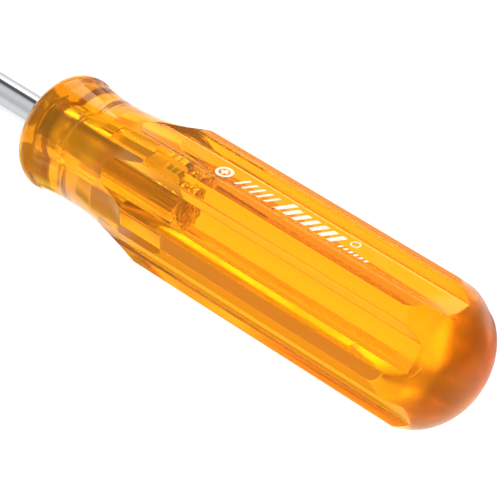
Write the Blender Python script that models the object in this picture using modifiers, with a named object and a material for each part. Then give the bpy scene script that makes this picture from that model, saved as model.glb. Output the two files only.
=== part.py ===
"""Fixed-blade cross-tip screwdriver: a fluted clear handle pressed onto a forged, plated steel blade.

World frame: metres, +X from the blade's tip to the handle's butt, +Z up, out of the marked flute. The
origin is under the middle of the tool, on the surface that its lower flute rests on. Each piece is
modelled about a local +Z that runs along the tool from tip to butt, with zero at the handle's front
face, and is parented to an empty that lays this line along +X.
"""
import math

import bmesh
import bpy
from mathutils import Matrix, Vector

MM = 0.001
FIT_GAP = 0.3 * MM                  # clearance kept all round between the blade and the handle

# Handle
HANDLE_LENGTH = 100.0 * MM
FLUTES = 6
BODY_RADIUS = 13.6 * MM             # out to the sharp ridges between flutes
FLUTE_FLOOR_HEIGHT = 11.13 * MM     # from the axis to the groove's flat floor
FLUTE_FLOOR_HALF_WIDTH = 2.6 * MM
FLUTE_CREST_HEIGHT = 12.4 * MM      # from the axis to the shoulder beside the groove
FLUTE_CREST_HALF_WIDTH = 4.38 * MM
FRONT_FACE_RADIUS = 8.4 * MM
BEAD_RADIUS = 11.2 * MM             # the rounded bead behind the front face
BEAD_STATION = 3.0 * MM
BEAD_BACK_STATION = 5.4 * MM
WAIST_RADIUS = 10.35 * MM
WAIST_STATION = 12.0 * MM
FLARE_ARC_RADIUS = 57.0 * MM        # sweeps from the waist out to the ridges
DOME_STATION = 88.3 * MM
DOME_EXPONENT = 2.1                 # 2 would be a plain ellipse; more is a fuller butt
BLANK_CLEARANCE = 0.3 * MM          # how far the turned blank stands clear of the bar's ridges

# Blade
SHANK_RADIUS = 3.175 * MM
BLADE_REACH = 101.6 * MM            # from the handle's front face to the tip
BLADE_INSERTION = 37.5 * MM         # inside the handle
BUTT_CHAMFER = 0.4 * MM
TIP_RADIUS = 1.145 * MM
TIP_HALF_ANGLE = math.radians(13.25)
TIP_GROOVES = 4
GROOVE_ANGLE = math.radians(92.0)
GROOVE_ROOT_RADIUS = 1.04 * MM      # from the axis to the groove's root, at the tip
GROOVE_RISE_ANGLE = math.radians(5.75)
FIN_START = 16.0 * MM
FIN_END = 34.5 * MM
FIN_RADIUS = 5.1 * MM
FIN_ROOT_RADIUS = 2.0 * MM          # buried in the rod
FIN_RAMP = 1.2 * MM
FIN_THICKNESS = 1.5 * MM

# Bore
BORE_RADIUS = SHANK_RADIUS + FIT_GAP
BORE_DEPTH = BLADE_INSERTION + 1.0 * MM
DRILL_POINT_HALF_ANGLE = math.radians(59.0)

# Fineness of the round shapes
HANDLE_STEPS = 72
BLADE_STEPS = 32
DOME_POINTS = 9
FLARE_POINTS = 11
BEAD_POINTS = 4

AXIS_HEIGHT = FLUTE_CREST_HEIGHT
MIDDLE_OFFSET = (BLADE_REACH - HANDLE_LENGTH) / 2


def clear_scene():
    for thing in list(bpy.data.objects):
        bpy.data.objects.remove(thing, do_unlink=True)


def new_collection(name):
    collection = bpy.data.collections.new(name)
    bpy.context.scene.collection.children.link(collection)
    return collection


def new_material(name, color, roughness, metallic=0.0, transmission=0.0):
    material = bpy.data.materials.new(name)
    material.use_nodes = True
    shader = material.node_tree.nodes["Principled BSDF"]
    shader.inputs["Base Color"].default_value = (*color, 1.0)
    shader.inputs["Roughness"].default_value = roughness
    shader.inputs["Metallic"].default_value = metallic
    shader.inputs["Transmission Weight"].default_value = transmission
    return material


def new_object(name, mesh, collection, parent):
    thing = bpy.data.objects.new(name, mesh)
    collection.objects.link(thing)
    thing.parent = parent
    return thing


def make_cutter(thing):
    thing.hide_render = True
    thing.display_type = "WIRE"
    return thing


def turned(name, profile, steps, collection, parent):
    """Revolve (radius, station) points, which run from the butt down the outside to the front."""
    mesh = bpy.data.meshes.new(name)
    points = [(radius, 0.0, station) for radius, station in profile]
    edges = [(i, i + 1) for i in range(len(points) - 1)]
    mesh.from_pydata(points, edges, [])
    thing = new_object(name, mesh, collection, parent)
    screw = thing.modifiers.new("Turn", "SCREW")
    screw.axis = "Z"
    screw.angle = math.tau
    screw.steps = steps
    screw.render_steps = steps
    screw.use_merge_vertices = True
    screw.merge_threshold = 0.00001
    screw.use_normal_calculate = False
    return thing


def extruded(name, outline, half_depth, collection, parent):
    """A closed solid from a flat outline in local XY, extruded both ways along local Z."""
    curve = bpy.data.curves.new(name + "_outline", "CURVE")
    curve.dimensions = "2D"
    curve.fill_mode = "BOTH"
    curve.extrude = half_depth
    spline = curve.splines.new("POLY")
    spline.points.add(len(outline) - 1)
    for point, (x, y) in zip(spline.points, outline):
        point.co = (x, y, 0.0, 1.0)
    spline.use_cyclic_u = True
    guide = new_object(name + "_outline", curve, collection, None)
    graph = bpy.context.evaluated_depsgraph_get()
    mesh = bpy.data.meshes.new_from_object(guide.evaluated_get(graph))
    mesh.name = name
    bpy.data.objects.remove(guide, do_unlink=True)
    weld = bmesh.new()
    weld.from_mesh(mesh)
    bmesh.ops.remove_doubles(weld, verts=weld.verts, dist=0.000001)
    bmesh.ops.recalc_face_normals(weld, faces=weld.faces)
    weld.to_mesh(mesh)
    weld.free()
    mesh.materials.clear()
    return new_object(name, mesh, collection, parent)


def add_boolean(thing, operation, other):
    modifier = thing.modifiers.new(operation.title(), "BOOLEAN")
    modifier.operation = operation
    modifier.solver = "EXACT"
    modifier.object = other


def smooth(thing, angle=math.radians(25.0)):
    thing.data.shade_smooth()
    thing.data.set_sharp_from_angle(angle=angle)


def dome_profile():
    """A superellipse from the pole of the butt down to the bar."""
    depth = HANDLE_LENGTH - DOME_STATION
    points = []
    for i in range(DOME_POINTS + 1):
        turn = math.radians(90.0) * i / DOME_POINTS
        radius = BODY_RADIUS * math.sin(turn) ** (2 / DOME_EXPONENT)
        station = DOME_STATION + depth * max(math.cos(turn), 0.0) ** (2 / DOME_EXPONENT)
        points.append((radius, station))
    return points


def flare_radius(station):
    return WAIST_RADIUS + FLARE_ARC_RADIUS - math.sqrt(FLARE_ARC_RADIUS ** 2 - (station - WAIST_STATION) ** 2)


def flare_station(radius):
    rise = radius - WAIST_RADIUS
    return WAIST_STATION + math.sqrt(FLARE_ARC_RADIUS ** 2 - (FLARE_ARC_RADIUS - rise) ** 2)


def neck_profile():
    """The arc that sweeps from the blank down to the waist and on to the back of the bead."""
    start = flare_station(BODY_RADIUS + BLANK_CLEARANCE)
    points = []
    for i in range(FLARE_POINTS + 1):
        station = start + (BEAD_BACK_STATION - start) * i / FLARE_POINTS
        points.append((flare_radius(station), station))
    return points


def bead_profile():
    """From the bead's back over its crest, then a quarter ellipse down to the front face."""
    back_radius = flare_radius(BEAD_BACK_STATION)
    points = []
    for i in range(1, BEAD_POINTS + 1):
        blend = 0.5 - 0.5 * math.cos(math.pi * i / BEAD_POINTS)
        station = BEAD_BACK_STATION + (BEAD_STATION - BEAD_BACK_STATION) * i / BEAD_POINTS
        points.append((back_radius + (BEAD_RADIUS - back_radius) * blend, station))
    for i in range(1, BEAD_POINTS + 1):
        turn = math.radians(90.0) * i / BEAD_POINTS
        radius = FRONT_FACE_RADIUS + (BEAD_RADIUS - FRONT_FACE_RADIUS) * math.cos(turn)
        points.append((radius, BEAD_STATION * (1.0 - math.sin(turn))))
    return points


def handle_profile():
    clear_radius = BODY_RADIUS + BLANK_CLEARANCE
    outside = dome_profile()
    outside.append((clear_radius, DOME_STATION - BLANK_CLEARANCE))
    outside += neck_profile()
    outside += bead_profile()
    point_depth = BORE_RADIUS / math.tan(DRILL_POINT_HALF_ANGLE)
    bore = [(BORE_RADIUS, 0.0), (BORE_RADIUS, BORE_DEPTH), (0.0, BORE_DEPTH + point_depth)]
    return outside + bore


def bar_outline():
    """The extruded bar's section: on each side a flat-floored groove between two shoulders."""
    half_side = math.pi / FLUTES
    ridge = (BODY_RADIUS * math.cos(half_side), BODY_RADIUS * math.sin(half_side))
    side = [
        (FLUTE_CREST_HEIGHT, -FLUTE_CREST_HALF_WIDTH),
        (FLUTE_FLOOR_HEIGHT, -FLUTE_FLOOR_HALF_WIDTH),
        (FLUTE_FLOOR_HEIGHT, FLUTE_FLOOR_HALF_WIDTH),
        (FLUTE_CREST_HEIGHT, FLUTE_CREST_HALF_WIDTH),
        ridge,
    ]
    outline = []
    for k in range(FLUTES):
        turn = Matrix.Rotation(math.tau * k / FLUTES, 2)
        outline += [tuple(turn @ Vector(point)) for point in side]
    return outline


def fin_outline(grow=0.0):
    """Both fins as one plate across the rod: local X is the radius, local Y the station."""
    start = FIN_START - grow
    end = FIN_END + grow
    root = FIN_ROOT_RADIUS
    tip = FIN_RADIUS + grow
    half = [(root, start), (tip, start + FIN_RAMP), (tip, end - FIN_RAMP), (root, end)]
    return half + [(-radius, station) for radius, station in reversed(half)]


def lay_plate(thing):
    """Stand a plate drawn in local XY so that its Y runs along the tool's axis."""
    thing.rotation_euler = (math.radians(90.0), 0.0, 0.0)
    return thing


def make_handle(parts, cutters, axis_empty, material):
    handle = turned("handle", handle_profile(), HANDLE_STEPS, parts, axis_empty)
    handle.rotation_euler = (0.0, 0.0, math.pi / HANDLE_STEPS)
    handle.data.materials.append(material)
    smooth(handle)
    half_bar = HANDLE_LENGTH
    bar = make_cutter(extruded("fluted_bar", bar_outline(), half_bar, cutters, axis_empty))
    bar.location = (0.0, 0.0, HANDLE_LENGTH / 2)
    add_boolean(handle, "INTERSECT", bar)
    pocket_half = FIN_THICKNESS / 2 + FIT_GAP
    pocket = make_cutter(extruded("fin_pocket", fin_outline(FIT_GAP), pocket_half, cutters, axis_empty))
    lay_plate(pocket)
    add_boolean(handle, "DIFFERENCE", pocket)
    return handle


def blade_profile():
    taper = (SHANK_RADIUS - TIP_RADIUS) / math.tan(TIP_HALF_ANGLE)
    return [
        (0.0, BLADE_INSERTION),
        (SHANK_RADIUS - BUTT_CHAMFER, BLADE_INSERTION),
        (SHANK_RADIUS, BLADE_INSERTION - BUTT_CHAMFER),
        (SHANK_RADIUS, taper - BLADE_REACH),
        (TIP_RADIUS, -BLADE_REACH),
        (0.0, -BLADE_REACH),
    ]


def groove_cutter(index, cutters, axis_empty):
    """A square bar lying on its edge, stretched to the groove's angle, its root rising from the tip."""
    width = 6.0 * MM
    length = 40.0 * MM
    overshoot = 3.0 * MM
    half_diagonal = width / math.sqrt(2)
    mesh = bpy.data.meshes.new("tip_groove")
    shape = bmesh.new()
    bmesh.ops.create_cube(shape, size=1.0)
    place = (
        Matrix.Rotation(math.radians(45.0) + math.tau * index / TIP_GROOVES, 4, "Z")
        @ Matrix.Translation((GROOVE_ROOT_RADIUS, 0.0, -BLADE_REACH))
        @ Matrix.Rotation(GROOVE_RISE_ANGLE, 4, "Y")
        @ Matrix.Translation((half_diagonal, 0.0, length / 2 - overshoot))
        @ Matrix.Diagonal((1.0, math.tan(GROOVE_ANGLE / 2), 1.0, 1.0))
        @ Matrix.Rotation(math.radians(45.0), 4, "Z")
        @ Matrix.Diagonal((width, width, length, 1.0))
    )
    bmesh.ops.transform(shape, matrix=place, verts=shape.verts)
    shape.to_mesh(mesh)
    shape.free()
    return make_cutter(new_object(f"tip_groove_{index + 1}", mesh, cutters, axis_empty))


def make_blade(parts, cutters, axis_empty, material):
    blade = turned("blade", blade_profile(), BLADE_STEPS, parts, axis_empty)
    blade.rotation_euler = (0.0, 0.0, math.pi / BLADE_STEPS)
    blade.data.materials.append(material)
    smooth(blade)
    fins = make_cutter(extruded("blade_fins", fin_outline(), FIN_THICKNESS / 2, cutters, axis_empty))
    lay_plate(fins)
    add_boolean(blade, "UNION", fins)
    for index in range(TIP_GROOVES):
        add_boolean(blade, "DIFFERENCE", groove_cutter(index, cutters, axis_empty))
    return blade


def main():
    clear_scene()
    parts = new_collection("screwdriver")
    cutters = new_collection("cutters")
    axis_empty = bpy.data.objects.new("tool_axis", None)
    parts.objects.link(axis_empty)
    axis_empty.location = (MIDDLE_OFFSET, 0.0, AXIS_HEIGHT)
    axis_empty.rotation_euler = (0.0, math.radians(90.0), 0.0)
    amber = new_material("amber_plastic", (0.95, 0.42, 0.02), 0.08, transmission=0.9)
    chrome = new_material("chrome_steel", (0.80, 0.80, 0.82), 0.12, metallic=1.0)
    make_handle(parts, cutters, axis_empty, amber)
    make_blade(parts, cutters, axis_empty, chrome)


main()
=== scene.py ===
"""Looks of the fluted amber screwdriver: clear plastic, chrome, a stamped mark and a light studio."""
import math

import bmesh
import bpy
from mathutils import Matrix, Vector


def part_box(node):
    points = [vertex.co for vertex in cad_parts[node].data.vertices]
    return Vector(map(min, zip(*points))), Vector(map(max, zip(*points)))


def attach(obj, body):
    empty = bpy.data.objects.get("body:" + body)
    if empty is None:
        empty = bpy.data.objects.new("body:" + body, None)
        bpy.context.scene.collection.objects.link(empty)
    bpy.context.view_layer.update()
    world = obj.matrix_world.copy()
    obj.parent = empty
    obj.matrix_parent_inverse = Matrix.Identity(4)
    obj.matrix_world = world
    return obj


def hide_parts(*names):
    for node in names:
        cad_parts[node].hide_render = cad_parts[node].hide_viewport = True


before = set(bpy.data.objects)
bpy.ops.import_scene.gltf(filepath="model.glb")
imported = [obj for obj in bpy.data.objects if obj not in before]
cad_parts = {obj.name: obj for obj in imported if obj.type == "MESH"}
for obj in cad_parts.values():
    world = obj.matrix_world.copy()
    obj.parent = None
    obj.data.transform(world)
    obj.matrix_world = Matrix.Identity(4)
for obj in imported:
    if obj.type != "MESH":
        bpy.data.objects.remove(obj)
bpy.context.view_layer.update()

MM = 0.001

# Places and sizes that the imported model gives. Stations run along +X from the handle's front face.
HANDLE_LOW, HANDLE_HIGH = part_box("handle")
BLADE_LOW, BLADE_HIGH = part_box("blade")
FRONT_X = HANDLE_LOW.x
AXIS_Z = (HANDLE_LOW.z + HANDLE_HIGH.z) / 2
HANDLE_LENGTH = HANDLE_HIGH.x - HANDLE_LOW.x
RIDGE_RADIUS = HANDLE_HIGH.y
CREST_HEIGHT = (HANDLE_HIGH.z - HANDLE_LOW.z) / 2
SHANK_RADIUS = BLADE_HIGH.y
BLADE_REACH = FRONT_X - BLADE_LOW.x
BLADE_INSERTION = BLADE_HIGH.x - FRONT_X
FIN_RADIUS = (BLADE_HIGH.z - BLADE_LOW.z) / 2

# The rest of the design, as in the CAD source
FLUTES = 6
FLOOR_HEIGHT = 11.13 * MM
FLOOR_HALF_WIDTH = 2.6 * MM
CREST_HALF_WIDTH = 4.38 * MM
FRONT_FACE_RADIUS = 8.4 * MM
BEAD_RADIUS = 11.2 * MM
BEAD_STATION = 3.0 * MM
BEAD_BACK_STATION = 5.4 * MM
WAIST_RADIUS = 10.35 * MM
WAIST_STATION = 12.0 * MM
FLARE_ARC_RADIUS = 57.0 * MM
DOME_STATION = 88.3 * MM
DOME_EXPONENT = 2.1
TIP_RADIUS = 1.145 * MM
TIP_HALF_ANGLE = math.radians(13.25)
TIP_GROOVES = 4
GROOVE_ANGLE = math.radians(92.0)
GROOVE_ROOT_RADIUS = 1.04 * MM
GROOVE_RISE_ANGLE = math.radians(5.75)
FIN_START = 16.0 * MM
FIN_END = 34.5 * MM
FIN_ROOT_RADIUS = 2.0 * MM
FIN_RAMP = 1.2 * MM
FIN_THICKNESS = 1.5 * MM
FIN_CHAMFER = 0.5 * MM
BLADE_EDGE = 0.35 * MM        # how far the shank's buried end is rounded off

# Fine rounding, gaps and broken plastic that only the visual model has
RIDGE_FILLET = 0.30 * MM
CREST_FILLET = 0.30 * MM
FLOOR_FILLET = 0.18 * MM
RUNOUT_FILLET = 0.25 * MM
PRESS_GAP = 0.02 * MM         # the hair of air left between the pressed blade and the plastic
CHIP_DEPTH = 0.30 * MM        # how rough the bore is where the blade's end broke the plastic
CHIP_START = 36.2 * MM
CAVITY_DEPTH = 1.3 * MM       # past the blade's end
RIM = 0.25 * MM               # the bore's edge on the front face, eased by this much
SHARP_ANGLE = math.radians(28.0)

BUTT_WEAR = 0.16              # how much rougher the butt is than the rest, from the palm
BUTT_WEAR_RISE = 6.0 * MM     # over which the wear sets in, from the dome's start

# The stamped mark: plain shapes on the upper flute's floor. Offsets are across it, towards -Y.
STAMP_PROUD = 0.03 * MM
STAMP_BURIED = 0.01 * MM
STAMP_SIDE = 0.30 * MM        # how far the whole mark sits off the flute's middle
STAMP_SLANT = 0.42
# Rows of leaning bars, in mm: (how many, first station, step, lowest offset, highest offset, width)
STAMP_ROWS = (
    (5, 45.60, 1.75, -1.40, 1.35, 0.62),
    (1, 55.20, 2.05, -2.10, 1.45, 1.15),
    (6, 57.25, 2.05, -1.50, 1.45, 1.15),
    (6, 70.20, 1.15, 0.75, 1.45, 0.60),
)
# Station, offset, outer and inner radius
RING = (41.6 * MM, 0.1 * MM, 1.65 * MM, 1.12 * MM)
SMALL_RING = (71.2 * MM, -1.3 * MM, 0.95 * MM, 0.70 * MM)
PLUS_REACH = 0.80 * MM
PLUS_HALF_WIDTH = 0.25 * MM

FLOOR_GLOW = 1.15
FLOOR_HALF_SIZE = 3.0

# The studio's light tent. Its six parts follow one another along X, and all but the side part are named
# after what they light most. A part is a ramp round X of (degrees, level) or (degrees, red, green, blue):
# 0 degrees is towards +Y, 90 is up and 180 is towards -Y. The handle's part is dark overhead, and orange
# below, like light that has passed through the tool.
DOME_TENT = (
    (-180.0, 2.40, 2.30, 1.80), (-95.0, 2.80, 2.60, 1.60), (-69.0, 2.40, 2.20, 1.20),
    (-57.0, 1.70, 1.60, 0.80), (-53.0, 1.70, 1.60, 0.80), (-49.0, 2.80, 2.60, 1.40),
    (-1.0, 2.90, 2.80, 1.80), (6.0, 2.80, 2.70, 1.70), (20.0, 0.40), (95.0, 0.30),
    (106.0, 2.00, 2.00, 1.80), (133.0, 2.40, 2.30, 1.80), (180.0, 2.40, 2.30, 1.80),
)
NECK_TENT = (
    (-180.0, 1.60, 1.60, 1.40), (-135.0, 1.60, 1.60, 1.20), (-112.0, 1.20, 1.00, 0.30),
    (-60.0, 1.80, 1.60, 0.80), (-25.0, 0.90, 0.90, 0.70), (-8.0, 1.60, 1.50, 1.00),
    (8.0, 1.60, 1.50, 0.90), (22.0, 0.35), (60.0, 0.35), (72.0, 0.15), (90.0, 0.20),
    (120.0, 0.90), (180.0, 1.20, 1.20, 1.10),
)
BLADE_TENT = (
    (-180.0, 1.05), (-160.0, 1.10), (-144.0, 0.95), (-128.0, 1.50), (-20.0, 1.50), (8.0, 0.92),
    (30.0, 1.10), (33.0, 1.50), (52.0, 1.50), (55.0, 1.10), (61.0, 0.90), (69.0, 0.28),
    (77.0, 0.10), (86.0, 0.12), (98.0, 0.70), (105.0, 0.92), (125.0, 0.97), (139.0, 0.84),
    (158.0, 0.73), (178.0, 1.03), (180.0, 1.05),
)
HANDLE_TENT = (
    (-180.0, 1.60, 1.60, 1.50), (-157.0, 2.10, 2.10, 1.80), (-150.0, 1.10, 1.10, 0.80),
    (-143.5, 2.20, 2.20, 1.80), (-138.0, 1.40, 1.40, 1.20), (-130.0, 0.70, 0.70, 0.50),
    (-118.0, 1.40, 1.00, 0.40), (-108.0, 1.40, 0.60, 0.08), (-98.0, 2.00, 1.70, 0.40),
    (-83.0, 2.30, 2.10, 0.30), (-80.0, 1.40, 0.95, 0.08), (-74.0, 1.25, 0.75, 0.10),
    (-62.0, 2.10, 2.10, 1.60), (-50.0, 1.62, 1.62, 1.50), (-39.0, 1.70, 1.70, 1.60),
    (-31.0, 1.00), (-20.5, 0.56, 0.40, 0.36), (-3.0, 0.90, 0.85, 0.80), (7.0, 0.20), (16.5, 1.20),
    (33.0, 0.30), (39.7, 0.30), (40.1, 5.60), (40.8, 5.60), (41.3, 1.70), (57.0, 2.10),
    (62.0, 1.40), (68.0, 0.95), (73.0, 0.12), (86.0, 0.15), (110.0, 2.00), (139.0, 1.10),
)
SIDE_TENT = (
    (-180.0, 1.70), (-150.0, 1.00), (-138.0, 0.50), (-113.0, 0.50), (-105.0, 1.40, 1.30, 1.00),
    (-79.0, 1.50, 1.40, 1.10), (-45.0, 1.20, 1.10, 0.90), (-30.0, 0.50), (-23.0, 0.30),
    (-12.0, 1.50), (-4.0, 1.50), (8.0, 0.75), (28.0, 0.75), (42.0, 2.00), (48.0, 3.40),
    (66.0, 3.40), (74.0, 1.00), (84.0, 0.35), (110.0, 1.00), (140.0, 1.30), (180.0, 1.70),
)
COLLAR_TENT = (
    (-180.0, 1.30), (-110.0, 0.80), (-74.0, 1.10, 1.00, 0.80), (-42.0, 1.30, 1.20, 1.00),
    (-14.0, 0.26), (54.0, 0.26), (68.0, 0.90), (110.0, 1.50), (180.0, 1.30),
)

# Where each later part of the tent starts, as the share of a direction that lies along X
NECK_SEAM = (-0.87, -0.84)
BLADE_SEAM = (-0.70, -0.64)
HANDLE_SEAM = (-0.605, -0.585)
SIDE_SEAM = (-0.49, -0.45)
COLLAR_SEAM = (0.27, 0.35)

SOFTBOX_DISTANCE = 4.0
SOFTBOX_GLOW = 3.6
# (share of the direction that lies along X, degrees round X as in the tents)
SOFTBOX_CORNERS = ((-0.70, 54.0), (-0.57, 42.3), (-0.20, 42.3), (-0.20, 64.0), (-0.57, 64.5))

# The camera looks at the handle from the near side, the butt and above, with a long lens
CAMERA_AZIMUTH = 41.44
CAMERA_ELEVATION = 32.13
CAMERA_ROLL = 6.50
CAMERA_DISTANCE = 542.0 * MM
CAMERA_LENS = 227.9
AIM_STATION = 49.47 * MM
AIM_SIDE = -0.55 * MM
AIM_RISE = -0.55 * MM


# ---------------------------------------------------------------- mesh helpers

def at_station(station, y, z):
    """A point in the row frame from a station and offsets from the tool's axis."""
    return (FRONT_X + station, y, AXIS_Z + z)


def new_piece(name, points, faces, smooth=True):
    """An object in the scene, made from points and faces."""
    mesh = bpy.data.meshes.new(name)
    mesh.from_pydata(points, [], faces)
    mesh.validate()
    mesh.update()
    if smooth:
        mesh.shade_smooth()
    piece = bpy.data.objects.new(name, mesh)
    bpy.context.scene.collection.objects.link(piece)
    return piece


def ring_grid(rings, count):
    """Quads between closed rings of count points each, listed ring after ring."""
    faces = []
    for i in range(rings - 1):
        for j in range(count):
            k = (j + 1) % count
            faces.append((i * count + j, i * count + k, (i + 1) * count + k, (i + 1) * count + j))
    return faces


def combine(piece, others, operation):
    """Join or cut a piece with others, bake the result into its mesh and drop the others."""
    for other in others:
        step = piece.modifiers.new("Combine", "BOOLEAN")
        step.operation = operation
        step.solver = "EXACT"
        step.object = other
    graph = bpy.context.evaluated_depsgraph_get()
    made = bpy.data.meshes.new_from_object(piece.evaluated_get(graph))
    piece.modifiers.clear()
    piece.data = made
    for other in others:
        bpy.data.objects.remove(other, do_unlink=True)


def cut(piece, cutters):
    combine(piece, cutters, "DIFFERENCE")


def filleted(corners, radii, arc_steps, flat_cuts):
    """A closed outline with each corner replaced by an arc and each side cut up."""
    points = []
    total = len(corners)
    for i in range(total):
        before = Vector(corners[i - 1])
        here = Vector(corners[i])
        after = Vector(corners[(i + 1) % total])
        back = (before - here).normalized()
        ahead = (after - here).normalized()
        half = back.angle(ahead) / 2
        reach = radii[i] / math.tan(half)
        centre = here + (back + ahead).normalized() * radii[i] / math.sin(half)
        start = here + back * reach
        end = here + ahead * reach
        first = start - centre
        swing = first.angle_signed(end - centre)
        for step in range(arc_steps + 1):
            turned = first.copy()
            turned.rotate(Matrix.Rotation(-swing * step / arc_steps, 2))
            points.append(centre + turned)
        next_back = (here - after).normalized()
        next_ahead = (Vector(corners[(i + 2) % total]) - after).normalized()
        next_reach = radii[(i + 1) % total] / math.tan(next_back.angle(next_ahead) / 2)
        far = after + next_back * next_reach
        for share in flat_cuts:
            points.append(end.lerp(far, share))
    return points


# ---------------------------------------------------------------- the handle's surface

def flute_section():
    """(angle, radius) round the fluted bar. Angle 0 is straight up, and it grows towards +Y."""
    half_side = math.pi / FLUTES
    side = [
        (CREST_HEIGHT, -CREST_HALF_WIDTH, CREST_FILLET),
        (FLOOR_HEIGHT, -FLOOR_HALF_WIDTH, FLOOR_FILLET),
        (FLOOR_HEIGHT, FLOOR_HALF_WIDTH, FLOOR_FILLET),
        (CREST_HEIGHT, CREST_HALF_WIDTH, CREST_FILLET),
        (RIDGE_RADIUS * math.cos(half_side), RIDGE_RADIUS * math.sin(half_side), RIDGE_FILLET),
    ]
    corners = []
    radii = []
    for k in range(FLUTES):
        turn = math.tau * k / FLUTES
        for height, width, radius in side:
            x = height * math.cos(turn) - width * math.sin(turn)
            y = height * math.sin(turn) + width * math.cos(turn)
            corners.append((x, y))
            radii.append(radius)
    cuts = (0.06, 0.25, 0.5, 0.75, 0.94)
    outline = filleted(corners, radii, 4, cuts)
    polar = [(math.atan2(p.y, p.x), p.length) for p in outline]
    return sorted(polar)


def flare_radius(station):
    """The neck's radius on its arc, which is narrowest at the waist."""
    run = station - WAIST_STATION
    return WAIST_RADIUS + FLARE_ARC_RADIUS - math.sqrt(FLARE_ARC_RADIUS ** 2 - run ** 2)


def flare_station(radius):
    """Where the neck's arc, behind the waist, reaches a radius."""
    rise = radius - WAIST_RADIUS
    return WAIST_STATION + math.sqrt(FLARE_ARC_RADIUS ** 2 - (FLARE_ARC_RADIUS - rise) ** 2)


def dome_point(turn):
    """(station, radius) on the butt's superellipse, from the pole at 0 to the ridges at a quarter turn."""
    depth = HANDLE_LENGTH - DOME_STATION
    power = 2 / DOME_EXPONENT
    station = DOME_STATION + depth * max(math.cos(turn), 0.0) ** power
    return station, RIDGE_RADIUS * max(math.sin(turn), 0.0) ** power


def dome_turn(radius):
    """The turn at which the butt reaches a radius, which is dome_point the other way round."""
    return math.asin(min(radius / RIDGE_RADIUS, 1.0) ** (DOME_EXPONENT / 2))


def rounded_corner(before, corner, after, steps):
    """A quadratic curve from before to after that the corner pulls on, ends left out."""
    points = []
    for i in range(1, steps):
        t = i / steps
        points.append(tuple(
            (1 - t) ** 2 * b + 2 * t * (1 - t) * c + t ** 2 * a
            for b, c, a in zip(before, corner, after)
        ))
    return points


def meridian(radius):
    """(station, radius) from the butt's pole to the front face, where the bar has this radius."""
    dome_rows, body_rows, neck_rows, bead_rows, corner_rows = 60, 16, 44, 12, 5
    last_turn = dome_turn(radius) - RUNOUT_FILLET / RIDGE_RADIUS
    line = [dome_point(last_turn * i / dome_rows) for i in range(1, dome_rows + 1)]
    dome_corner = (dome_point(dome_turn(radius))[0], radius)
    body_start = (dome_corner[0] - RUNOUT_FILLET, radius)
    neck_corner = (flare_station(radius), radius)
    body_end = (neck_corner[0] + RUNOUT_FILLET, radius)
    line += rounded_corner(line[-1], dome_corner, body_start, corner_rows)
    for i in range(body_rows + 1):
        line.append((body_start[0] + (body_end[0] - body_start[0]) * i / body_rows, radius))
    neck_start = neck_corner[0] - RUNOUT_FILLET
    neck_first = (neck_start, flare_radius(neck_start))
    line += rounded_corner(body_end, neck_corner, neck_first, corner_rows)
    for i in range(neck_rows + 1):
        station = neck_start + (BEAD_BACK_STATION - neck_start) * i / neck_rows
        line.append((station, flare_radius(station)))
    back_radius = flare_radius(BEAD_BACK_STATION)
    for i in range(1, bead_rows + 1):
        blend = 0.5 - 0.5 * math.cos(math.pi * i / bead_rows)
        station = BEAD_BACK_STATION + (BEAD_STATION - BEAD_BACK_STATION) * i / bead_rows
        line.append((station, back_radius + (BEAD_RADIUS - back_radius) * blend))
    for i in range(1, 2 * bead_rows + 1):
        turn = math.pi / 2 * i / (2 * bead_rows)
        station = BEAD_STATION * (1.0 - math.sin(turn))
        line.append((station, FRONT_FACE_RADIUS + (BEAD_RADIUS - FRONT_FACE_RADIUS) * math.cos(turn)))
    return line


def chips(station, angle):
    """A fixed, jagged pattern from -1 to 1, for where the plastic is broken."""
    along = station / MM
    first = math.sin(7.3 * angle + 5.1 * along + 1.3 * math.sin(3.0 * angle + 9.0 * along))
    second = math.sin(17.0 * angle - 8.7 * along + 2.1 * math.sin(5.0 * angle))
    return 0.6 * first + 0.4 * second


def bore_rows():
    """(station, radius, roughness) from the front face into the bore and to its broken bottom."""
    bore = SHANK_RADIUS + PRESS_GAP
    rows = [(0.0, r * MM, 0.0) for r in (7.9, 7.0, 5.6, 4.4)]
    rows += [(0.0, bore + RIM, 0.0), (RIM * 0.3, bore + RIM * 0.3, 0.0)]
    rows += [(RIM + (CHIP_START - RIM) * i / 30, bore, 0.0) for i in range(31)]
    deep = BLADE_INSERTION + CAVITY_DEPTH * 0.6
    rows += [(CHIP_START + (deep - CHIP_START) * i / 8, bore + CHIP_DEPTH, 1.0) for i in range(1, 9)]
    rows.append((deep + CAVITY_DEPTH * 0.25, bore * 0.80, 0.9))
    rows.append((deep + CAVITY_DEPTH * 0.35, bore * 0.45, 0.8))
    return rows, deep + CAVITY_DEPTH * 0.4


def make_handle():
    """Fluted surface, front face and bore as one closed skin, with the fin pockets cut out of it."""
    section = flute_section()
    lines = [meridian(radius) for _, radius in section]
    inner, bottom = bore_rows()
    rows = len(lines[0]) + len(inner)
    count = len(section)
    points = []
    for row in range(rows):
        for j, (angle, _) in enumerate(section):
            if row < len(lines[0]):
                station, radius = lines[j][row]
            else:
                station, radius, rough = inner[row - len(lines[0])]
                jag = chips(station, angle) * rough * CHIP_DEPTH
                station, radius = station + 0.5 * jag, radius + jag
            points.append(at_station(station, radius * math.sin(angle), radius * math.cos(angle)))
    faces = ring_grid(rows, count)
    points.append(at_station(HANDLE_LENGTH, 0.0, 0.0))
    points.append(at_station(bottom, 0.0, 0.0))
    butt, hole = len(points) - 2, len(points) - 1
    last = (rows - 1) * count
    for j in range(count):
        k = (j + 1) % count
        faces.append((butt, k, j))
        faces.append((hole, last + j, last + k))
    piece = new_piece("amber_handle", points, faces)
    cut(piece, [fin_plate("slot_cutter", PRESS_GAP, CHIP_DEPTH)])
    return piece


# ---------------------------------------------------------------- the blade

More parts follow.
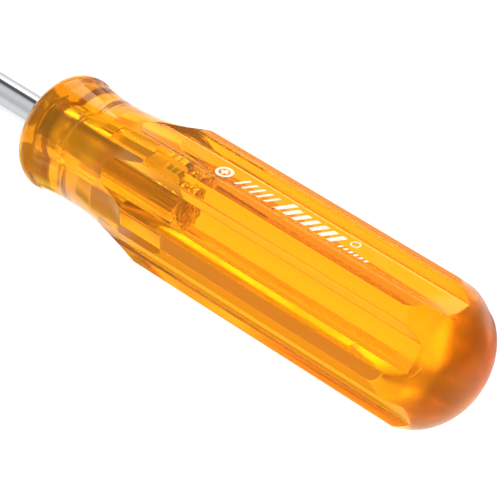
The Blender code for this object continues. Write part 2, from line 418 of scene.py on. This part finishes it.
def lathe(name, line, steps, start_pole, end_pole):
    """A turned solid from (station, radius) rows, closed by a point at each end."""
    points = []
    for station, radius in line:
        for j in range(steps):
            angle = math.tau * (j + 0.5) / steps
            points.append(at_station(station, radius * math.sin(angle), radius * math.cos(angle)))
    faces = ring_grid(len(line), steps)
    points.append(at_station(start_pole, 0.0, 0.0))
    points.append(at_station(end_pole, 0.0, 0.0))
    first, second = len(points) - 2, len(points) - 1
    last = (len(line) - 1) * steps
    for j in range(steps):
        k = (j + 1) % steps
        faces.append((first, k, j))
        faces.append((second, last + j, last + k))
    return new_piece(name, points, faces)


def fin_plate(name, grow, jagged):
    """Both fins as one upright plate through the axis. A jagged one has a broken far end."""
    start, end, tip = FIN_START - grow, FIN_END + grow, FIN_RADIUS + grow
    half = [(FIN_ROOT_RADIUS, start), (tip - FIN_CHAMFER, start + FIN_RAMP * 0.6), (tip, start + FIN_RAMP)]
    steps = 24
    first, last = start + FIN_RAMP, end - FIN_RAMP
    for i in range(1, steps):
        half.append((tip, first + (last - first) * i / steps))
    half += [(tip, last), (tip - FIN_CHAMFER, end - FIN_RAMP * 0.4), (FIN_ROOT_RADIUS, end)]
    if jagged:
        middle = first + (last - first) * 0.75
        rough = []
        for radius, station in half:
            if station > middle:
                share = (station - middle) / (end - middle)
                radius += jagged * share * chips(station, radius / MM)
                station += 2 * jagged * share * chips(station * 3, 1.7 * radius / MM)
            rough.append((radius, station))
        half = rough
    outline = half + [(-radius, station) for radius, station in reversed(half)]
    depth = FIN_THICKNESS / 2 + grow
    count = len(outline)
    points = [at_station(station, side, radius) for side in (-depth, depth) for radius, station in outline]
    faces = [tuple(range(count)), tuple(range(2 * count - 1, count - 1, -1))]
    for i in range(count):
        k = (i + 1) % count
        faces.append((i, i + count, k + count, k))
    plate = new_piece(name, points, faces, smooth=False)
    tidy_normals(plate)
    return plate


def tidy_normals(piece):
    """Turn every face outwards."""
    shape = bmesh.new()
    shape.from_mesh(piece.data)
    bmesh.ops.recalc_face_normals(shape, faces=shape.faces)
    shape.to_mesh(piece.data)
    shape.free()


def groove_bar(index):
    """A square bar lying on its edge that cuts one groove of the cross tip."""
    width, length, overshoot = 6.0 * MM, 40.0 * MM, 3.0 * MM
    half_diagonal = width / math.sqrt(2)
    shape = bmesh.new()
    bmesh.ops.create_cube(shape, size=1.0)
    along_axis = Matrix.Translation((FRONT_X, 0.0, AXIS_Z)) @ Matrix.Rotation(math.radians(90.0), 4, "Y")
    place = (
        along_axis
        @ Matrix.Rotation(math.radians(45.0) + math.tau * index / TIP_GROOVES, 4, "Z")
        @ Matrix.Translation((GROOVE_ROOT_RADIUS, 0.0, -BLADE_REACH))
        @ Matrix.Rotation(GROOVE_RISE_ANGLE, 4, "Y")
        @ Matrix.Translation((half_diagonal, 0.0, length / 2 - overshoot))
        @ Matrix.Diagonal((1.0, math.tan(GROOVE_ANGLE / 2), 1.0, 1.0))
        @ Matrix.Rotation(math.radians(45.0), 4, "Z")
        @ Matrix.Diagonal((width, width, length, 1.0))
    )
    bmesh.ops.transform(shape, matrix=place, verts=shape.verts)
    mesh = bpy.data.meshes.new("groove_bar")
    shape.to_mesh(mesh)
    shape.free()
    bar = bpy.data.objects.new("groove_bar", mesh)
    bpy.context.scene.collection.objects.link(bar)
    return bar


def make_blade():
    """Round shank with a tapered end, both fins, and the four grooves of the cross tip."""
    steps = 96
    edge = BLADE_EDGE
    taper = (SHANK_RADIUS - TIP_RADIUS) / math.tan(TIP_HALF_ANGLE)
    line = [(BLADE_INSERTION, SHANK_RADIUS * 0.5), (BLADE_INSERTION, SHANK_RADIUS - edge)]
    line.append((BLADE_INSERTION - edge * 0.3, SHANK_RADIUS - edge * 0.3))
    line.append((BLADE_INSERTION - edge, SHANK_RADIUS))
    length = BLADE_REACH + BLADE_INSERTION - edge - taper
    line += [(BLADE_INSERTION - edge - length * i / 40, SHANK_RADIUS) for i in range(1, 41)]
    for i in range(1, 13):
        share = i / 12
        radius = SHANK_RADIUS + (TIP_RADIUS - SHANK_RADIUS) * share
        line.append((-BLADE_REACH + taper * (1 - share), radius))
    line.append((-BLADE_REACH, TIP_RADIUS * 0.5))
    piece = lathe("chrome_blade", line, steps, BLADE_INSERTION, -BLADE_REACH)
    combine(piece, [fin_plate("fins", 0.0, 0.0)], "UNION")
    cut(piece, [groove_bar(index) for index in range(TIP_GROOVES)])
    piece.data.shade_smooth()
    piece.data.set_sharp_from_angle(angle=SHARP_ANGLE)
    return piece


# ---------------------------------------------------------------- the stamped mark

def plate(name, loops):
    """Flat raised shapes on the upper flute's floor, from closed outlines of (station, offset)."""
    points, faces = [], []
    top, low = FLOOR_HEIGHT + STAMP_PROUD, FLOOR_HEIGHT - STAMP_BURIED
    for loop in loops:
        base, count = len(points), len(loop)
        for height in (top, low):
            points += [at_station(station, -offset - STAMP_SIDE, height) for station, offset in loop]
        faces.append(tuple(base + i for i in range(count)))
        faces.append(tuple(base + count + i for i in reversed(range(count))))
        for i in range(count):
            k = (i + 1) % count
            faces.append((base + i, base + count + i, base + count + k, base + k))
    piece = new_piece(name, points, faces, smooth=False)
    tidy_normals(piece)
    return piece


def slanted_bar(station, low, high, width):
    """A bar across the flute that leans like italics, with its corners taken off."""
    clip = min(0.12 * MM, width * 0.3)
    corners = [(0.0, low), (width, low), (width, high), (0.0, high)]
    loop = []
    for i in range(4):
        here = Vector(corners[i])
        before, after = Vector(corners[i - 1]), Vector(corners[(i + 1) % 4])
        loop.append(here + (before - here).normalized() * clip)
        loop.append(here + (after - here).normalized() * clip)
    return [(station + p.x - STAMP_SLANT * p.y, p.y) for p in loop]


def make_stamp_bars():
    """A group of thin leaning bars, a group of bold ones with a longer first bar, and a row of dashes."""
    loops = []
    for count, first, step, low, high, width in STAMP_ROWS:
        for i in range(count):
            loops.append(slanted_bar((first + step * i) * MM, low * MM, high * MM, width * MM))
    return plate("stamp_bars", loops)


def ring_piece(name, station, offset, outer, inner, steps):
    """A flat raised ring on the upper flute's floor."""
    points, faces = [], []
    top, low = FLOOR_HEIGHT + STAMP_PROUD, FLOOR_HEIGHT - STAMP_BURIED
    for height in (top, low):
        for radius in (outer, inner):
            for i in range(steps):
                turn = math.tau * i / steps
                x, y = radius * math.cos(turn), radius * math.sin(turn)
                points.append(at_station(station + x, -offset - y - STAMP_SIDE, height))
    for i in range(steps):
        k = (i + 1) % steps
        faces.append((i, k, k + steps, i + steps))
        faces.append((i + 2 * steps, i + 3 * steps, k + 3 * steps, k + 2 * steps))
        faces.append((i, i + 2 * steps, k + 2 * steps, k))
        faces.append((i + steps, k + steps, k + 3 * steps, i + 3 * steps))
    piece = new_piece(name, points, faces, smooth=False)
    tidy_normals(piece)
    return piece


def plus_loop(station, offset, reach, half):
    """The outline of a plus, which inside the ring looks like the blade's tip seen end on."""
    ring = [(half, half), (reach, half), (reach, -half), (half, -half), (half, -reach), (-half, -reach),
            (-half, -half), (-reach, -half), (-reach, half), (-half, half), (-half, reach), (half, reach)]
    return [(station + x, offset + y) for x, y in ring]


# ---------------------------------------------------------------- materials

def new_material(name):
    material = bpy.data.materials.new(name)
    material.use_nodes = True
    return material, material.node_tree, material.node_tree.nodes["Principled BSDF"]


def feed(tree, socket, value):
    """Set an input socket to a value, or link it to another node's output."""
    if isinstance(value, bpy.types.NodeSocket):
        tree.links.new(value, socket)
    else:
        socket.default_value = value


def add_node(tree, kind, **inputs):
    """A node with its inputs fed by name, spaces written as underscores."""
    node = tree.nodes.new(kind)
    for name, value in inputs.items():
        feed(tree, node.inputs[name.replace("_", " ")], value)
    return node


def object_place(tree, stretch):
    """Object coordinates, stretched so that a pattern runs lengthwise or crosswise."""
    place = add_node(tree, "ShaderNodeTexCoord")
    mapping = add_node(tree, "ShaderNodeMapping", Vector=place.outputs["Object"], Scale=stretch)
    return mapping.outputs["Vector"]


def lengthwise_share(tree, start, end):
    """0 before the start station, 1 past the end station, and a straight rise between them."""
    place = add_node(tree, "ShaderNodeTexCoord")
    split = add_node(tree, "ShaderNodeSeparateXYZ", Vector=place.outputs["Object"])
    return rise(tree, split.outputs["X"], FRONT_X + start, FRONT_X + end)


def rise(tree, value, start, end):
    """0 below start, 1 above end, and a straight rise between them."""
    node = add_node(tree, "ShaderNodeMapRange", Value=value, From_Min=start, From_Max=end)
    return node.outputs["Result"]


def noise(tree, vector, scale, detail):
    return add_node(tree, "ShaderNodeTexNoise", Vector=vector, Scale=scale, Detail=detail).outputs["Fac"]


def ramp(tree, factor, stops):
    """A colour ramp from (position, colour) pairs."""
    node = add_node(tree, "ShaderNodeValToRGB", Fac=factor)
    elements = node.color_ramp.elements
    while len(elements) < len(stops):
        elements.new(0.5)
    for element, (position, _) in zip(elements, stops):
        element.position = position
    for element, (_, colour) in zip(elements, stops):
        element.color = (*colour, 1.0)
    return node.outputs["Color"]


def mixed(tree, factor, first, second, blend_type="MIX"):
    """Two colours mixed by a factor."""
    node = tree.nodes.new("ShaderNodeMix")
    node.data_type = "RGBA"
    node.blend_type = blend_type
    feed(tree, node.inputs[0], factor)
    feed(tree, node.inputs[6], first)
    feed(tree, node.inputs[7], second)
    return node.outputs[2]


def bumped(tree, shader, height, strength, distance):
    """Give a shader fine relief from a height pattern."""
    bump = add_node(tree, "ShaderNodeBump", Strength=strength, Distance=distance, Height=height)
    tree.links.new(bump.outputs["Normal"], shader.inputs["Normal"])


def grey(value):
    return (value, value, value)


def math_node(tree, operation, *values):
    node = tree.nodes.new("ShaderNodeMath")
    node.operation = operation
    for socket, value in zip(node.inputs, values):
        feed(tree, socket, value)
    return node.outputs[0]


def hairlines(tree, stretch, scale, width):
    """Sparse thin lines, 1 on a line and 0 off it: where a smooth noise crosses its middle value."""
    wander = noise(tree, object_place(tree, stretch), scale, 0.0)
    line = ramp(tree, wander, [(0.5 - width, grey(0.0)), (0.5, grey(1.0)), (0.5 + width, grey(0.0))])
    patches = noise(tree, object_place(tree, (1.0, 1.0, 1.0)), 210.0, 2.0)
    sparse = ramp(tree, patches, [(0.56, grey(0.0)), (0.62, grey(1.0))])
    return math_node(tree, "MULTIPLY", line, sparse)


def amber_material():
    """Clear amber acetate: drawing streaks, handling haze, hairline scratches and a worn butt."""
    material, tree, shader = new_material("amber_acetate")
    shader.inputs["IOR"].default_value = 1.51
    shader.inputs["Specular Tint"].default_value = (1.0, 0.55, 0.1, 1.0)
    shader.inputs["Transmission Weight"].default_value = 0.88
    butt = lengthwise_share(tree, DOME_STATION, DOME_STATION + BUTT_WEAR_RISE)
    lengthwise = hairlines(tree, (0.15, 1.0, 1.0), 60.0, 0.0025)
    crosswise = hairlines(tree, (1.0, 0.12, 0.2), 75.0, 0.0020)
    scratches = math_node(tree, "MAXIMUM", lengthwise, math_node(tree, "MULTIPLY", crosswise, butt))

    streaks = noise(tree, object_place(tree, (0.02, 1.0, 1.0)), 900.0, 3.0)
    tint = ramp(tree, streaks, [(0.35, (1.0, 0.43, 0.012)), (0.65, (1.0, 0.47, 0.016))])
    pale = math_node(tree, "MULTIPLY", scratches, 0.4)
    tree.links.new(mixed(tree, pale, tint, (1.0, 0.62, 0.18, 1.0)), shader.inputs["Base Color"])

    handled = noise(tree, object_place(tree, (1.0, 1.0, 1.0)), 130.0, 4.0)
    gloss = ramp(tree, handled, [(0.35, grey(0.03)), (0.70, grey(0.09))])
    scratched = math_node(tree, "MULTIPLY_ADD", scratches, 0.2, gloss)
    worn = math_node(tree, "MULTIPLY_ADD", butt, BUTT_WEAR, scratched)
    tree.links.new(worn, shader.inputs["Roughness"])

    relief = math_node(tree, "MULTIPLY", streaks, 0.07)
    bumped(tree, shader, math_node(tree, "SUBTRACT", relief, scratches), 0.15, 0.00001)

    volume = add_node(tree, "ShaderNodeVolumeAbsorption", Color=(0.985, 0.80, 0.0, 1.0), Density=60.0)
    tree.links.new(volume.outputs["Volume"], tree.nodes["Material Output"].inputs["Volume"])
    return material


def stamp_material():
    """White hot-stamped foil with the plastic showing through in specks."""
    material, tree, shader = new_material("stamp_white")
    shader.inputs["Roughness"].default_value = 0.55
    grain = noise(tree, object_place(tree, (1.0, 1.0, 1.0)), 2600.0, 3.0)
    foil = ramp(tree, grain, [
        (0.30, (0.86, 0.58, 0.32)), (0.42, (0.93, 0.85, 0.73)), (0.70, (0.96, 0.91, 0.82)),
    ])
    tree.links.new(foil, shader.inputs["Base Color"])
    bumped(tree, shader, grain, 0.3, 0.00002)
    return material


def chrome_material():
    """Bright plate, polished round the shank. Where it goes into the handle its colour holds painted shade
    and a painted reflection.
    """
    material, tree, shader = new_material("chrome_plate")
    shader.inputs["Metallic"].default_value = 1.0
    # Bright outside, painted shade under the collar, a painted yellow-green reflection along the neck,
    # painted dull shade at the fins
    inside = lengthwise_share(tree, -1.0 * MM, 21.0 * MM)
    chrome_and_painted_light = ramp(tree, inside, [
        (0.04, (0.62, 0.63, 0.645)), (0.06, (0.03, 0.05, 0.02)), (0.19, (0.04, 0.06, 0.02)),
        (0.27, (0.44, 0.92, 0.20)), (0.72, (0.44, 0.92, 0.20)), (0.84, (0.35, 0.48, 0.10)),
    ])
    polish = noise(tree, object_place(tree, (1.0, 0.03, 0.03)), 5000.0, 2.0)
    shade = ramp(tree, polish, [(0.3, grey(0.93)), (0.7, grey(1.0))])
    tree.links.new(mixed(tree, 1.0, chrome_and_painted_light, shade, "MULTIPLY"), shader.inputs["Base Color"])
    gloss = ramp(tree, polish, [(0.3, grey(0.11)), (0.7, grey(0.06))])
    tree.links.new(gloss, shader.inputs["Roughness"])
    bumped(tree, shader, polish, 0.15, 0.00001)
    return material


# ---------------------------------------------------------------- studio

def make_floor():
    """A pale, evenly glowing sheet. Only the camera sees it: the tent and the softbox light the tool."""
    half = FLOOR_HALF_SIZE
    corners = [(-half, -half, 0), (half, -half, 0), (half, half, 0), (-half, half, 0)]
    floor = new_piece("floor", corners, [(0, 1, 2, 3)], smooth=False)
    floor.data.materials.append(glowing("white_paper", FLOOR_GLOW))
    floor.visible_diffuse = False
    floor.visible_glossy = False
    floor.visible_transmission = False
    floor.visible_shadow = False


def tent_colour(tree, share, tent):
    """One part of the tent as a ramp. The share is 0 at -180 degrees and 1 at 180."""
    stops = []
    for degrees, *colour in tent:
        if len(colour) == 1:
            colour = grey(colour[0])
        stops.append((degrees / 360 + 0.5, colour))
    return ramp(tree, share, stops)


def make_world():
    """The light tent: its parts follow one another along X, with short blends between them."""
    world = bpy.data.worlds.new("light_tent")
    world.use_nodes = True
    tree = world.node_tree
    direction = add_node(tree, "ShaderNodeTexCoord")
    split = add_node(tree, "ShaderNodeSeparateXYZ", Vector=direction.outputs["Generated"])
    along = split.outputs["X"]
    angle = math_node(tree, "ARCTAN2", split.outputs["Z"], split.outputs["Y"])
    share = math_node(tree, "MULTIPLY_ADD", angle, 1 / math.tau, 0.5)
    light = tent_colour(tree, share, DOME_TENT)
    later = (
        (NECK_SEAM, NECK_TENT), (BLADE_SEAM, BLADE_TENT), (HANDLE_SEAM, HANDLE_TENT),
        (SIDE_SEAM, SIDE_TENT), (COLLAR_SEAM, COLLAR_TENT),
    )
    for seam, tent in later:
        light = mixed(tree, rise(tree, along, *seam), light, tent_colour(tree, share, tent))
    tree.links.new(light, tree.nodes["Background"].inputs["Color"])
    bpy.context.scene.world = world


def glowing(name, brightness):
    """A material that only shines, evenly and in white."""
    material, _, shader = new_material(name)
    shader.inputs["Base Color"].default_value = (0.0, 0.0, 0.0, 1.0)
    shader.inputs["Specular IOR Level"].default_value = 0.0
    shader.inputs["Emission Color"].default_value = (1.0, 1.0, 1.0, 1.0)
    shader.inputs["Emission Strength"].default_value = brightness
    return material


def add_softbox():
    """A long box lamp above and behind the tool, with one slanted end."""
    points = []
    for along, degrees in SOFTBOX_CORNERS:
        turn = math.radians(degrees)
        across = math.sqrt(1 - along ** 2)
        away = Vector((along, across * math.cos(turn), across * math.sin(turn)))
        points.append(Vector((0.0, 0.0, AXIS_Z)) + away * SOFTBOX_DISTANCE)
    box = new_piece("softbox", points, [tuple(range(len(points)))], smooth=False)
    box.data.materials.append(glowing("softbox_cloth", SOFTBOX_GLOW))


def make_camera():
    """A long lens on the handle, turned a little about its own line of sight."""
    data = bpy.data.cameras.new("camera")
    data.lens = CAMERA_LENS
    data.clip_start = 0.01
    data.clip_end = 20.0
    camera = bpy.data.objects.new("camera", data)
    bpy.context.scene.collection.objects.link(camera)
    a, e = math.radians(CAMERA_AZIMUTH), math.radians(CAMERA_ELEVATION)
    away = Vector((math.sin(a) * math.cos(e), -math.cos(a) * math.cos(e), math.sin(e)))
    aim = Vector(at_station(AIM_STATION, AIM_SIDE, AIM_RISE))
    camera.location = aim + away * CAMERA_DISTANCE
    camera.rotation_mode = "QUATERNION"
    upright = (-away).to_track_quat("-Z", "Y")
    roll = Matrix.Rotation(math.radians(CAMERA_ROLL), 4, "Z").to_quaternion()
    camera.rotation_quaternion = upright @ roll
    bpy.context.scene.camera = camera


make_camera()
make_world()
make_floor()
add_softbox()
bpy.context.scene.view_settings.view_transform = "Standard"

handle = make_handle()
handle.data.materials.append(amber_material())
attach(handle, "root")
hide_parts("handle")

blade = make_blade()
blade.data.materials.append(chrome_material())
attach(blade, "root")
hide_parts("blade")

paint = stamp_material()
stamps = [
    make_stamp_bars(),
    ring_piece("stamp_ring", *RING, 48),
    plate("stamp_plus", [plus_loop(RING[0], RING[1], PLUS_REACH, PLUS_HALF_WIDTH)]),
    ring_piece("stamp_small_ring", *SMALL_RING, 36),
]
for stamp in stamps:
    stamp.data.materials.append(paint)
    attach(stamp, "root")
